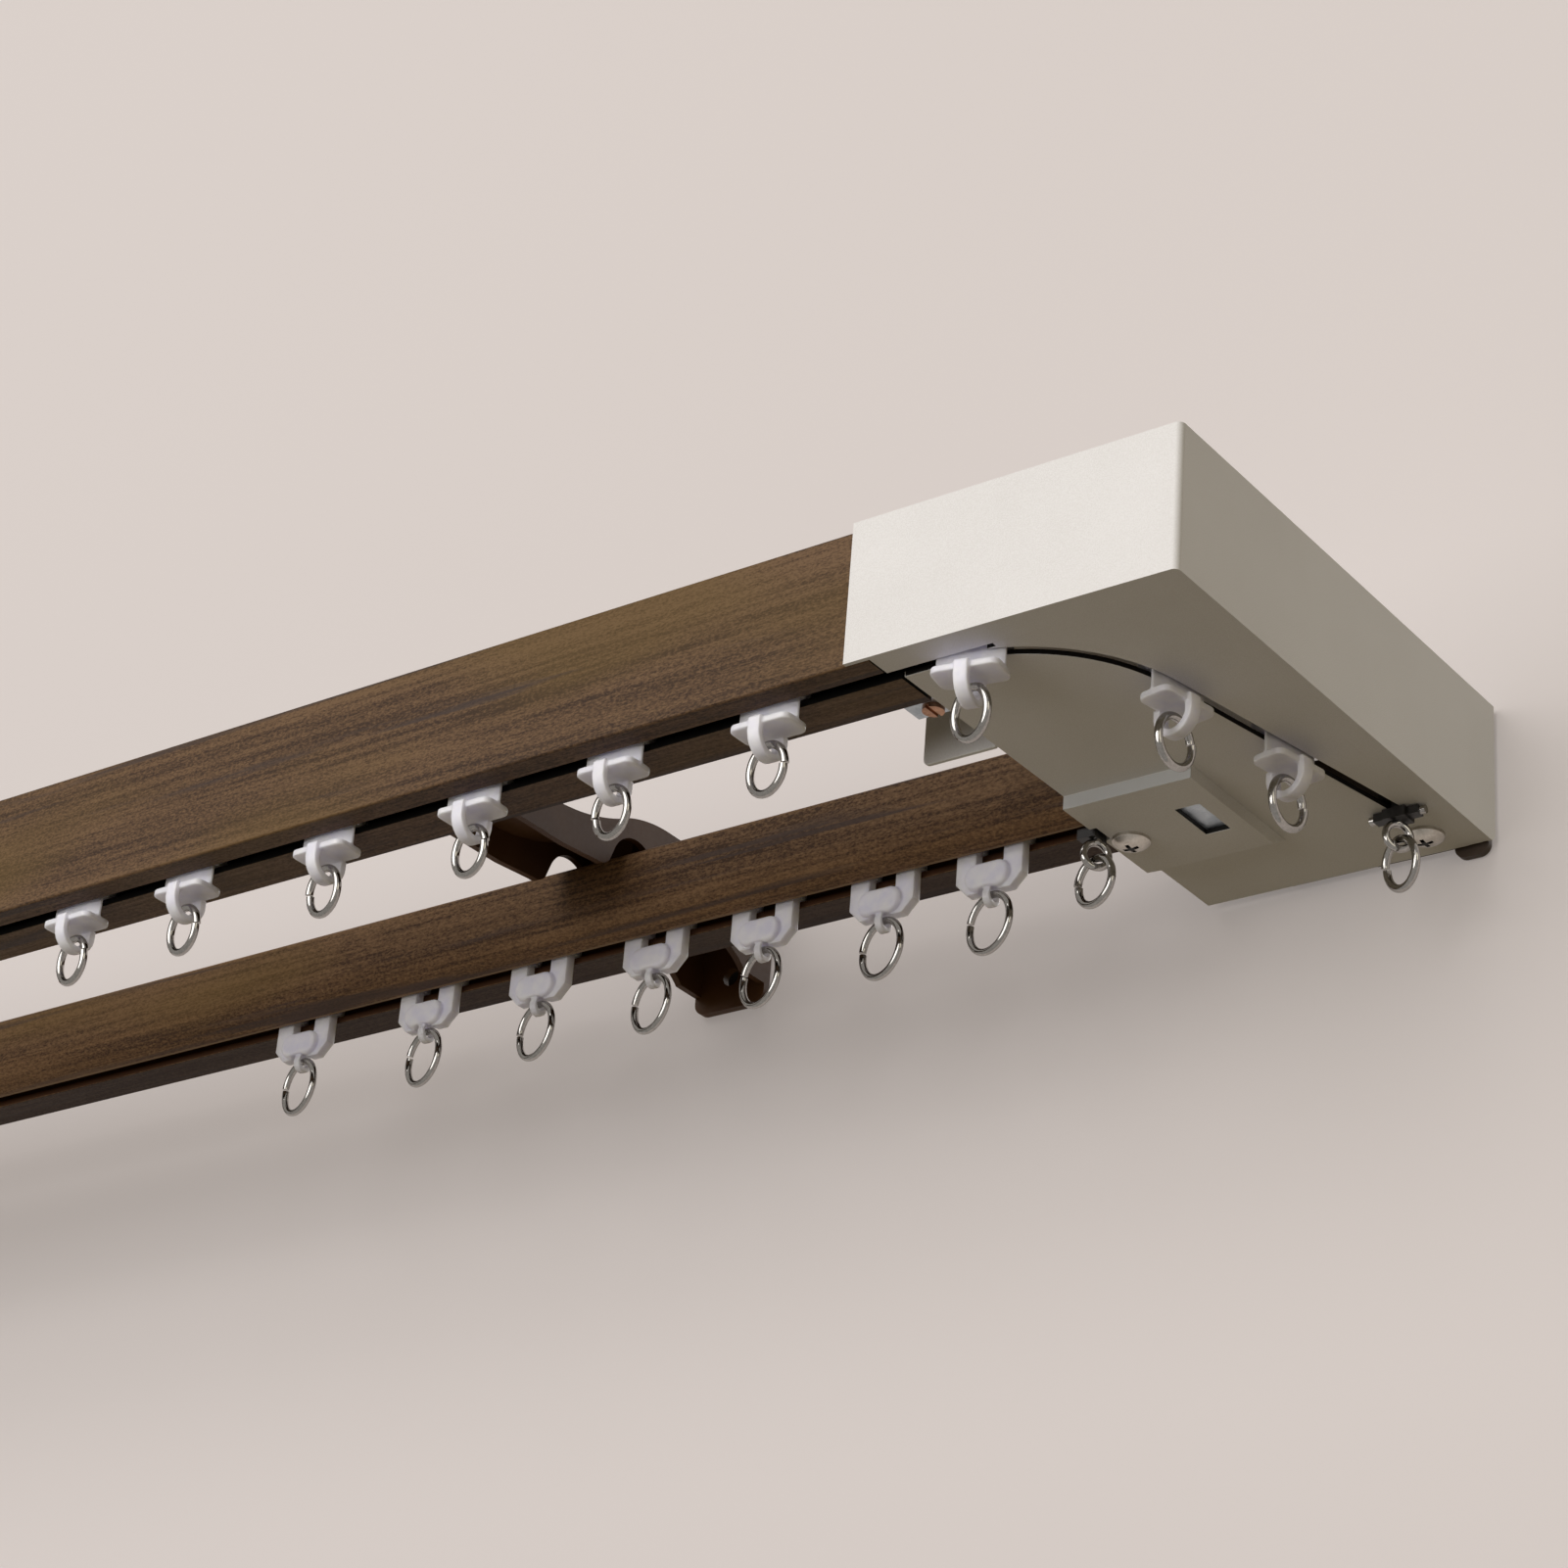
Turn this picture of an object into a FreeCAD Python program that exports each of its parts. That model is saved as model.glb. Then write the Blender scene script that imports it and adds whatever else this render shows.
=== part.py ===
import FreeCAD, Part
import math
import os

os.makedirs("parts", exist_ok=True)
V = FreeCAD.Vector

# Double curtain track with a metal return cap, in millimetres.
# The origin lies on the wall, midway between the two screw holes of the right bracket.
# X runs along the rails towards the cap, Y runs into the wall and Z runs up.
# Depths d are counted from the front of the cap towards the wall, heights h up from the track's underside.

# Whole track
PROJECTION = 125.5
UNDERSIDE = -24.0
TRACK_LEFT = -405.0
CAP_RIGHT = 195.0
BRACKET_LEFT_X = -330.0

# Front rail
FRONT_FACE = 1.0
FRONT_DEPTH = 19.0
FRONT_HEIGHT = 30.2
FRONT_WALL = 1.4
FRONT_SLOT_NEAR = 5.5
FRONT_SLOT_WIDTH = 3.6
FRONT_CHANNEL_TOP = 11.0

# Rear rail
REAR_FROM_WALL = 54.3
REAR_DEPTH = 18.6
REAR_BOTTOM = -1.6
REAR_HEIGHT = 18.9
REAR_WALL = 1.4
REAR_SLOT_NEAR = 5.6
REAR_SLOT_WIDTH = 4.4
REAR_CHANNEL_TOP = 10.0
REAR_ROUND = 7.0

# Return cap; the right edges of tray and window are counted from the cap's right side
CAP_OVERHANG = 7.6
CAP_HEIGHT = 31.5
CAP_WALL_GAP = 0.9
CAP_SHEET = 1.0
CAP_FRONT_FLANGE = 6.9
CAP_SIDE_FLANGE = 5.1
BASE_LENGTH = 66.4
BASE_SETBACK = 1.4
BASE_SHEET = 1.2
CAP_SLOT_WIDTH = 2.8
SLOT_RADIUS = 34.0
SLOT_CORNER = 28.3
SLOT_LEAN = math.radians(10.8)
SLOT_BACK_MARGIN = 19.2
TRAY_FRONT_MARGIN = 5.1
TRAY_BACK_MARGIN = 8.7
TRAY_SLOPE = 5.5
TRAY_RIGHT = 36.6
TRAY_DROP = 3.0
WINDOW_RIGHT = 40.9
WINDOW_LENGTH = 5.7
WINDOW_NEAR_MARGIN = 2.3
WINDOW_FAR_MARGIN = 10.0
RAIL_END_GAP = 4.4

# Screws and angle inside the cap
SCREW_HEAD = 4.0
SCREW_HEAD_HEIGHT = 2.2
SCREW_SHANK = 1.9
SCREW_LENGTH = 4.0
RAIL_SCREW_INSET = 10.2
SIDE_SCREW_INSET = 10.6
SIDE_SCREW_MARGIN = 8.6
ANGLE_SHEET = 1.5
ANGLE_LENGTH = 46.0
ANGLE_TOP = 29.0
ANGLE_FOOT = (5.0, 26.0, 17.5)
ANGLE_HOLES = (10.0, 36.0)
ANGLE_HOLE_HEIGHT = 17.0
TAB_WIDTH = 7.6
TAB_DROP = 2.0

# Double bracket
ARM_WIDTH = 20.0
ARM_SHEET = 1.6
WALL_PLATE = 2.0
WALL_PLATE_LOW = 2.4
WALL_PLATE_HIGH = 45.6
HOLE_SPACING = 27.0
HOLE_RADIUS = 2.2

# Runners and rings
FRONT_RINGS_X = (-95.3, -60.8, -19.4, 21.4, 58.7, 97.5)
ARC_RUNNER_INSET = 50.4
LEG_RUNNERS_D = (37.9, 69.9)
REAR_RINGS_X = (-90.6, -51.9, -18.5, 14.4, 44.3, 76.0, 103.2)
REAR_STOPPER_X = 128.6
WIRE = 1.6
FRONT_RING = 11.7
REAR_RING = 14.2
RING_GAP = 0.4
RING_TURN = math.radians(-16)
ARC_RING_TURN = math.radians(-8)
LEG_RING_TURN = math.radians(17)
RING_SEAT_FRONT = -7.65
REAR_HOLE_Z = -9.2
RING_SEAT_REAR = REAR_HOLE_Z - 0.1
STOPPER_END_GAP = 1.4
STOPPER_WING = 5.0
STOPPER_EYE_Z = -5.9
STOPPER_EYE_RADIUS = 2.7
STOPPER_EYE_WIRE = 1.4
STOPPER_EYE_TURN = 35.0

# Places that follow from these sizes
FRONT_BACK = FRONT_FACE + FRONT_DEPTH
FRONT_SLOT_D = FRONT_FACE + FRONT_SLOT_NEAR + FRONT_SLOT_WIDTH / 2
REAR_FACE = PROJECTION - REAR_FROM_WALL
REAR_SLOT_D = REAR_FACE + REAR_SLOT_NEAR + REAR_SLOT_WIDTH / 2
CAP_LENGTH = BASE_LENGTH + CAP_OVERHANG
CAP_DEPTH = PROJECTION - CAP_WALL_GAP
BASE_LEFT = CAP_RIGHT - BASE_LENGTH
BASE_DEPTH = CAP_DEPTH - BASE_SETBACK
SLOT_END_DEPTH = BASE_DEPTH - SLOT_BACK_MARGIN
STOPPER_D = SLOT_END_DEPTH - STOPPER_END_GAP
TRAY_NEAR = REAR_FACE - TRAY_FRONT_MARGIN
TRAY_FAR = REAR_FACE + REAR_DEPTH + TRAY_BACK_MARGIN
WINDOW_LEFT = WINDOW_RIGHT + WINDOW_LENGTH
WINDOW_NEAR = REAR_SLOT_D - WINDOW_NEAR_MARGIN
WINDOW_FAR = REAR_SLOT_D + WINDOW_FAR_MARGIN
REAR_END = CAP_RIGHT - WINDOW_LEFT - RAIL_END_GAP
THROUGH = TRAY_DROP + 4 * BASE_SHEET


def depth(d):
    return d - PROJECTION


def height(h):
    return h + UNDERSIDE


def box(x_range, d_range, h_range):
    corner = V(x_range[0], depth(d_range[0]), height(h_range[0]))
    sizes = [high - low for low, high in (x_range, d_range, h_range)]
    return Part.makeBox(*sizes, corner)


def outline(points):
    """Closed face through points; a point with an arc's middle in front of it ends that arc."""
    edges = []
    here = points[0]
    for step in points[1:] + [points[0]]:
        if isinstance(step[0], tuple):
            middle, end = step
            edges.append(Part.Arc(V(*here), V(*middle), V(*end)).toShape())
            here = end
        elif step != here:
            edges.append(Part.makeLine(V(*here), V(*step)))
            here = step
    return Part.Face(Part.Wire(edges))


def along_x(points, x_range):
    """Prism along X from an outline of (d, h) points; an arc is ((d, h), (d, h))."""
    def place(point):
        if isinstance(point[0], tuple):
            return tuple(place(p) for p in point)
        return (x_range[0], depth(point[0]), height(point[1]))
    return outline([place(p) for p in points]).extrude(V(x_range[1] - x_range[0], 0, 0))


def cylinder(radius, length, start, direction):
    return Part.makeCylinder(radius, length, start, direction)


def save(name, shape):
    shape.exportStep("parts/" + name + ".step")


# Front rail: a square extrusion with a runner channel below and a bracket groove in its back
def front_rail():
    wall = FRONT_WALL
    ends = (TRACK_LEFT, BASE_LEFT - 0.8)
    face, back = FRONT_FACE, FRONT_BACK
    near = face + FRONT_SLOT_NEAR
    far = near + FRONT_SLOT_WIDTH
    edge = 0.6
    body = along_x([
        (face + edge, 0), (back, 0), (back, FRONT_HEIGHT), (face + edge, FRONT_HEIGHT),
        ((face + edge * 0.29, FRONT_HEIGHT - edge * 0.29), (face, FRONT_HEIGHT - edge)),
        (face, edge), ((face + edge * 0.29, edge * 0.29), (face + edge, 0))], ends)
    centre = (near + far) / 2
    reach = centre - face - wall
    web = FRONT_CHANNEL_TOP + wall
    hollows = [
        box(ends, (near, far), (-1, wall + 1)),
        box(ends, (centre - reach, centre + reach), (wall + 0.2, FRONT_CHANNEL_TOP)),
        box(ends, (centre + reach + wall, back - wall), (wall, FRONT_CHANNEL_TOP)),
        box(ends, (face + wall, back - wall), (web, FRONT_HEIGHT - wall)),
        box(ends, (back - wall - 1, back + 1), (web + 2.6, FRONT_HEIGHT - 5.2))]
    flange_seat = box((ends[1] - 1.7, ends[1] + 1), (0, CAP_FRONT_FLANGE + 0.1), (-1, CAP_SHEET + 0.1))
    return body.cut(hollows + [flange_seat])


# Rear rail: a smaller extrusion whose face rolls under to the slot, with a bracket groove on top
def rear_rail():
    wall = REAR_WALL
    ends = (TRACK_LEFT, REAR_END)
    face, back = REAR_FACE, REAR_FACE + REAR_DEPTH
    low, high = REAR_BOTTOM, REAR_BOTTOM + REAR_HEIGHT
    near = face + REAR_SLOT_NEAR
    far = near + REAR_SLOT_WIDTH

    edge = 1.2
    turn = REAR_ROUND * (1 - math.sqrt(0.5))
    body = along_x([
        (face, low + REAR_ROUND), ((face + turn, low + turn), (face + REAR_ROUND, low)), (back, low),
        (back, high), (face + edge, high), ((face + edge * 0.29, high - edge * 0.29), (face, high - edge))], ends)
    web = REAR_BOTTOM + REAR_CHANNEL_TOP
    inner = face + wall
    lip = low + wall + 0.2
    channel = along_x([
        (inner, low + 5.2), (inner + 2.6, lip), (far + 3.4, lip), (far + 3.4, web), (inner, web)], ends)
    hollows = [
        box(ends, (near, far), (low - 1, low + wall + 1)),
        channel,
        box(ends, (far + 3.4 + wall, back - wall), (low + wall, web)),
        box(ends, (inner, back - wall), (web + wall, high - wall)),
        box(ends, (inner + 3.6, back - wall - 3.6), (high - wall - 1, high + 1))]
    x, d = screw_places()[0]
    screw_hole = cylinder(SCREW_SHANK, wall + 4, V(x, depth(d), height(low - 2)), V(0, 0, 1))
    return body.cut(hollows + [screw_hole])


# Plain end cap of a rail: a plate over the cut end
def end_cap(face, deep, low, tall):
    thick = 2.0
    plate = box((TRACK_LEFT - thick, TRACK_LEFT), (face, face + deep), (low, low + tall))
    long_edges = [e for e in plate.Edges if abs(e.Vertexes[0].X - e.Vertexes[1].X) > 1]
    return plate.makeFillet(0.8, long_edges)


# Cap shell: one bent sheet with a front, a side, a top and two narrow flanges turned in below
def cap_shell():
    right = CAP_RIGHT
    left = right - CAP_LENGTH
    t = CAP_SHEET
    top = CAP_HEIGHT
    bend = 1.4
    block = box((left, right), (0, CAP_DEPTH), (0, top))
    corner = [e for e in block.Edges if e.Length == top
              and abs(e.Vertexes[0].X - right) < 0.01 and e.Vertexes[0].Y < depth(1)]
    block = block.makeFillet(bend, corner)
    inside = box((left - 1, right - t), (t, CAP_DEPTH + 1), (t, top - t))
    corner = [e for e in inside.Edges if abs(e.Length - (top - 2 * t)) < 0.01
              and abs(e.Vertexes[0].X - (right - t)) < 0.01 and e.Vertexes[0].Y < depth(t + 1)]
    inside = inside.makeFillet(bend - t, corner)
    opening = box((left - 1, right - CAP_SIDE_FLANGE), (CAP_FRONT_FLANGE, CAP_DEPTH + 1), (-1, t + 1))
    flange_end = box((right - CAP_SIDE_FLANGE - 1, right - t), (BASE_DEPTH - 0.2, CAP_DEPTH + 1), (-1, t + 1))
    rail_mouth = box((left - 1, right - BASE_LENGTH - 2.1), (t, CAP_FRONT_FLANGE + 1), (-1, t + 1))
    shell = block.cut([inside, opening, flange_end, rail_mouth])
    lower_back = cylinder(2.0, 3 * t, V(right - 2 * t, depth(CAP_DEPTH - 2), height(2)), V(1, 0, 0))
    square = box((right - 2 * t, right + t), (CAP_DEPTH - 2, CAP_DEPTH + 1), (-1, 2))
    return shell.cut(square.cut(lower_back))


# Line of the curved slot: straight behind the front flange, an arc, then a leg that leans outwards
def slot_points():
    meet = V(CAP_RIGHT - SLOT_CORNER, depth(FRONT_SLOT_D), 0)
    turn = math.pi / 2 - SLOT_LEAN
    reach = SLOT_RADIUS * math.tan(turn / 2)
    leg = V(math.sin(SLOT_LEAN), math.cos(SLOT_LEAN), 0)
    start = meet - V(reach, 0, 0)
    centre = start + V(0, SLOT_RADIUS, 0)
    finish = meet + leg * reach
    end = finish + leg * ((depth(SLOT_END_DEPTH) - finish.y) / leg.y)
    return start, centre, finish, end, leg


def slot_cutter():
    start, centre, finish, end, leg = slot_points()
    half = CAP_SLOT_WIDTH / 2
    side = V(leg.y, -leg.x, 0)
    left = V(BASE_LEFT - 1, start.y, 0)
    turn = math.pi / 2 - SLOT_LEAN

    def on_arc(radius, angle):
        return centre + V(math.sin(angle), -math.cos(angle), 0) * radius
    outer = SLOT_RADIUS + half
    inner = SLOT_RADIUS - half
    edges = [
        Part.makeLine(left - V(0, half, 0), start - V(0, half, 0)),
        Part.Arc(on_arc(outer, 0), on_arc(outer, turn / 2), on_arc(outer, turn)).toShape(),
        Part.makeLine(finish + side * half, end + side * half),
        Part.makeLine(end + side * half, end - side * half),
        Part.makeLine(end - side * half, finish - side * half),
        Part.Arc(on_arc(inner, turn), on_arc(inner, turn / 2), on_arc(inner, 0)).toShape(),
        Part.makeLine(start + V(0, half, 0), left + V(0, half, 0)),
        Part.makeLine(left + V(0, half, 0), left - V(0, half, 0))]
    face = Part.Face(Part.Wire(edges))
    return face.extrude(V(0, 0, 2 * THROUGH)).translate(V(0, 0, height(-THROUGH)))


# Base plate of the cap, pressed down into a tray that takes the rear rail's end
def cap_base():
    right, left, t = CAP_RIGHT, BASE_LEFT, BASE_SHEET
    tray_right = right - TRAY_RIGHT
    near, far, slope = TRAY_NEAR, TRAY_FAR, TRAY_SLOPE
    sheet = box((left, right - CAP_SIDE_FLANGE), (CAP_FRONT_FLANGE, BASE_DEPTH), (0, t))
    outside = along_x([(near, -TRAY_DROP), (far, -TRAY_DROP), (far + slope, 0), (far + slope, t), (near, t)],
                      (left, tray_right))
    inside = along_x([(near + t, t - TRAY_DROP), (far - 0.5, t - TRAY_DROP),
                      (far + slope - 0.5, t), (far + slope - 0.5, t + 1), (near + t, t + 1)],
                     (left - 1, tray_right - t))
    window = box((right - WINDOW_LEFT, right - WINDOW_RIGHT), (WINDOW_NEAR, WINDOW_FAR), (-TRAY_DROP - 1, 1))
    slot = slot_cutter()
    start = slot_points()[0]
    corner = box((left - 1, start.x + 12), (0, FRONT_SLOT_D), (-1, t + 1))
    holes = [cylinder(SCREW_SHANK + 0.2, 2 * THROUGH, V(x, depth(d), height(-THROUGH)), V(0, 0, 1))
             for x, d in screw_places()]
    stopper_notch = box((left - 1, REAR_STOPPER_X + 1.6), (REAR_SLOT_D - 2.8, REAR_SLOT_D + 2.8),
                        (-TRAY_DROP - 1, t + 1))
    return sheet.fuse(outside).cut(inside).removeSplitter().cut([window, slot, corner, stopper_notch] + holes)


def screw_places():
    """The rail's screw below its near flange and the side screw near the cap's back corner."""
    return [(REAR_END - RAIL_SCREW_INSET, REAR_SLOT_D + REAR_SLOT_WIDTH / 2 + 2.7),
            (CAP_RIGHT - SIDE_SCREW_INSET, BASE_DEPTH - SIDE_SCREW_MARGIN)]


# Pan-head screw, head down, with a cross recess
def pan_screw(x, d, seat, length):
    head, tall = SCREW_HEAD, SCREW_HEAD_HEIGHT
    z = height(seat)
    y = depth(d)
    profile = Part.Face(Part.Wire([
        Part.makeLine(V(0, 0, 0), V(0, 0, -tall)),
        Part.Arc(V(0, 0, -tall), V(head * 0.55, 0, -tall * 0.86), V(head, 0, -tall * 0.32)).toShape(),
        Part.makeLine(V(head, 0, -tall * 0.32), V(head, 0, 0)),
        Part.makeLine(V(head, 0, 0), V(0, 0, 0))]))
    screw = profile.revolve(V(0, 0, 0), V(0, 0, 1), 360)
    screw = screw.fuse(cylinder(SCREW_SHANK, length, V(0, 0, 0), V(0, 0, 1)))
    arm, slim, deep = head * 0.85, head * 0.2, tall * 0.6
    recess = [
        Part.makeBox(arm, slim, deep, V(-arm / 2, -slim / 2, -tall)),
        Part.makeBox(slim, arm, deep, V(-slim / 2, -arm / 2, -tall))]
    return screw.cut(recess).translate(V(x, y, z))


def cap_screws():
    (x1, d1), (x2, d2) = screw_places()
    return Part.makeCompound([pan_screw(x1, d1, -TRAY_DROP, SCREW_LENGTH), pan_screw(x2, d2, 0, SCREW_LENGTH)])


# Wall bracket inside the cap: an upright plate, a foot on the base plate and the rounded tab by the corner
def cap_wall_bracket():
    t = ANGLE_SHEET
    edge = CAP_RIGHT - CAP_SHEET - 0.2
    back = PROJECTION
    plate = box((edge - ANGLE_LENGTH, edge), (back - t, back), (BASE_SHEET + 0.1, ANGLE_TOP))
    tab = box((edge - TAB_WIDTH, edge), (back - t, back), (-TAB_DROP, BASE_SHEET + 1))
    tab = tab.makeFillet(TAB_DROP + 0.4, [e for e in tab.Edges if abs(e.Length - t) < 0.01
                                          and e.Vertexes[0].Z < height(-TAB_DROP / 2)])
    foot_right, foot_left, foot_deep = ANGLE_FOOT
    foot = box((edge - foot_left, edge - foot_right), (back - foot_deep, back), (BASE_SHEET, BASE_SHEET + t))
    holes = [cylinder(HOLE_RADIUS, 3 * t, V(edge - inset, depth(back - 2 * t), height(ANGLE_HOLE_HEIGHT)),
                      V(0, 1, 0)) for inset in ANGLE_HOLES]
    x, d = screw_places()[1]
    tapped = cylinder(SCREW_SHANK, 3 * t, V(x, depth(d), height(0)), V(0, 0, 1))
    return plate.fuse([tab, foot]).removeSplitter().cut(holes + [tapped])


# Zinc plate that ends the rear track above the tray's window
def rail_end_plate():
    left = REAR_END + 1.0
    floor = BASE_SHEET - TRAY_DROP
    near, far = WINDOW_NEAR - 5, WINDOW_FAR + 5
    flat = box((left, CAP_RIGHT - TRAY_RIGHT - BASE_SHEET - 0.4), (near, far), (floor, floor + 1.0))
    upright = box((left, left + 1.0), (near, far), (floor, REAR_HEIGHT - 4))
    return flat.fuse(upright).removeSplitter()


# Zinc plate and copper screw that tie the front rail's end to the base plate
def connector_plate():
    left, right, t = BASE_LEFT - 8.6, BASE_LEFT + 14.4, BASE_SHEET
    plate = box((left, right), (FRONT_BACK, FRONT_BACK + 7.0), (t, 2 * t))
    upright = box((left, right), (FRONT_BACK, FRONT_BACK + t), (t, FRONT_CHANNEL_TOP + 1))
    x, d = connector_screw_place()
    hole = cylinder(1.4, 2 * THROUGH, V(x, depth(d), height(-THROUGH)), V(0, 0, 1))
    return plate.fuse(upright).removeSplitter().cut(hole)


def connector_screw_place():
    return BASE_LEFT - 3.2, FRONT_BACK + 4.2


def connector_screw():
    x, d = connector_screw_place()
    radius, tall, slot = 2.25, 1.0, 0.8
    head = cylinder(radius, tall, V(x, depth(d), height(BASE_SHEET - tall)), V(0, 0, 1))
    slot_low = V(x - slot / 2, depth(d) - radius - 0.1, height(BASE_SHEET - tall))
    cut = Part.makeBox(slot, 2 * radius + 0.2, tall * 0.6, slot_low)
    shank = cylinder(1.4, 4.0, V(x, depth(d), height(BASE_SHEET)), V(0, 0, 1))
    return head.cut(cut).fuse(shank)


# Upright plate that stands on the cap's base and reaches out between the rails
def inner_brace():
    t = CAP_SHEET
    left, right = BASE_LEFT - 17.6, BASE_LEFT + 22.4
    near = FRONT_BACK + 21.6
    web = box((left, right), (near, near + t), (BASE_SHEET, 12.2))
    nose = box((left, BASE_LEFT - 0.3), (near, near + t), (0, BASE_SHEET))
    nose = nose.fuse(web).removeSplitter()
    nose = nose.makeFillet(1.4, [e for e in nose.Edges if abs(e.Length - t) < 0.01
                                 and e.Vertexes[0].X < left + 1 and e.Vertexes[0].Z < height(1)])
    foot = box((right - 18.0, right), (near - 8, near + t), (BASE_SHEET, BASE_SHEET + t))
    return nose.fuse(foot).removeSplitter()


# Double bracket: a channel arm over both rails with notched cheeks, and a wall plate
def arm_upper(lift):
    """Upper edge of the cheeks from front to back, lowered by lift."""
    low, high, rear = 19.0 - lift, 28.2 - lift, REAR_FACE
    return [(FRONT_BACK + 1.2, low), (rear - 23.2, low), ((rear - 10.7, low + 2.4), (rear - 0.2, low + 6.8)),
            ((rear + 6.3, high - 0.6), (rear + 14.8, high)), (PROJECTION - WALL_PLATE, high)]


def cheek_lower():
    """Lower edge of the cheeks from the wall to the front."""
    rear, seat = REAR_FACE, 10.2
    middle = (FRONT_BACK + rear - 11.2) / 2 + 10
    return [(PROJECTION - WALL_PLATE, 6.9), (rear + 44.8, 7.0), ((rear + 40.8, 9.8), (rear + 32.8, 11.8)),
            ((rear + 24.8, 14.2), (rear + 20.8, 19.0)), (rear + 8.4, 19.0), ((rear + 2.2, 21.4), (rear - 4.4, 16.6)),
            (rear - 5.8, 13.0), ((rear - 7.6, 11.5), (rear - 9.6, 11.2)), (middle, seat), (FRONT_BACK + 1.2, seat)]


def bracket(middle):
    half, t = ARM_WIDTH / 2, ARM_SHEET
    x_range = (middle - half, middle + half)
    cheeks = along_x(arm_upper(0) + cheek_lower(), x_range)
    hollow_x = (middle - half + t, middle + half - t)
    front = FRONT_BACK + 1.2
    low = [(PROJECTION - WALL_PLATE, -5.0), (front + t, -5.0)]
    upper = arm_upper(t)
    inside = along_x([(front + t, upper[0][1])] + upper[1:] + low, hollow_x)
    arm = cheeks.cut(inside)
    plate = box(x_range, (PROJECTION - WALL_PLATE, PROJECTION), (WALL_PLATE_LOW, WALL_PLATE_HIGH))
    corners = [e for e in plate.Edges if abs(e.Length - WALL_PLATE) < 0.01]
    plate = plate.makeFillet(3.0, corners)
    holes = [cylinder(HOLE_RADIUS, 3 * WALL_PLATE, V(middle, -2 * WALL_PLATE, side * HOLE_SPACING / 2), V(0, 1, 0))
             for side in (-1, 1)]
    back = FRONT_BACK
    groove = (FRONT_CHANNEL_TOP + FRONT_WALL + 2.6, FRONT_HEIGHT - 5.2)
    neck = box((middle - 6, middle + 6), (back - FRONT_WALL - 0.5, front + t), (groove[0], 19.0))
    head = box((middle - 6, middle + 6), (back - FRONT_WALL - 1.6, back - FRONT_WALL),
               (groove[0] - 1.8, groove[1] + 1.8))
    neck = neck.fuse(head)
    rear_top = REAR_BOTTOM + REAR_HEIGHT
    slot_near = REAR_FACE + REAR_WALL + 3.6
    slot_far = REAR_FACE + REAR_DEPTH - REAR_WALL - 3.6
    hanger = box((middle - 6, middle + 6), (slot_near + 1, slot_far - 1), (rear_top - REAR_WALL - 0.5, 27.0))
    foot = box((middle - 6, middle + 6), (slot_near - 2, slot_far + 2),
               (rear_top - REAR_WALL - 1.6, rear_top - REAR_WALL))
    return arm.fuse([plate, neck, hanger, foot]).removeSplitter().cut(holes)


# Front runner: head in the channel, thin neck, rounded flange and a strap loop, with its slot centre at zero
def rounded_plate(length, width, radius, low, high):
    plate = Part.makeBox(length, width, high - low, V(-length / 2, -width / 2, low))
    upright = [e for e in plate.Edges if abs(e.Vertexes[0].Z - e.Vertexes[1].Z) > 0.5]
    return plate.makeFillet(radius, upright)


def front_runner():
    flange_top, flange_low = -3.3, -4.7
    head = Part.makeBox(14.0, 8.4, 3.0, V(-7.0, -4.2, 1.8))
    tip, middle = 0.3, 0.8
    long, short = 7.3, 3.5
    neck = outline([(x, y, flange_top) for x, y in (
        (-long, -tip), (-short, -middle), (short, -middle), (long, -tip),
        (long, tip), (short, middle), (-short, middle), (-long, tip))])
    neck = neck.extrude(V(0, 0, 2.0 - flange_top))
    flange = rounded_plate(14.4, 7.8, 1.8, flange_low, flange_top)
    half = 1.9
    outer, outer_bend = 4.85, -6.1
    inner, inner_bend = 3.2, -6.25
    top = flange_top + 0.3
    root = flange_low + 0.4
    strap = outline([
        (-half, -outer, top), (-half, -outer, outer_bend),
        ((-half, 0, outer_bend - outer), (-half, outer, outer_bend)),
        (-half, outer, root), (-half, inner, root), (-half, inner, inner_bend),
        ((-half, 0, inner_bend - inner), (-half, -inner, inner_bend)), (-half, -inner, top)])
    strap = strap.extrude(V(2 * half, 0, 0))
    front_edges = [e for e in strap.Edges if abs(e.Length - 2 * half) < 0.01 and e.Vertexes[0].Z > root + 0.1]
    strap = strap.makeFillet(0.7, front_edges[:1])
    return head.fuse([neck, flange, strap]).removeSplitter()


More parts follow.
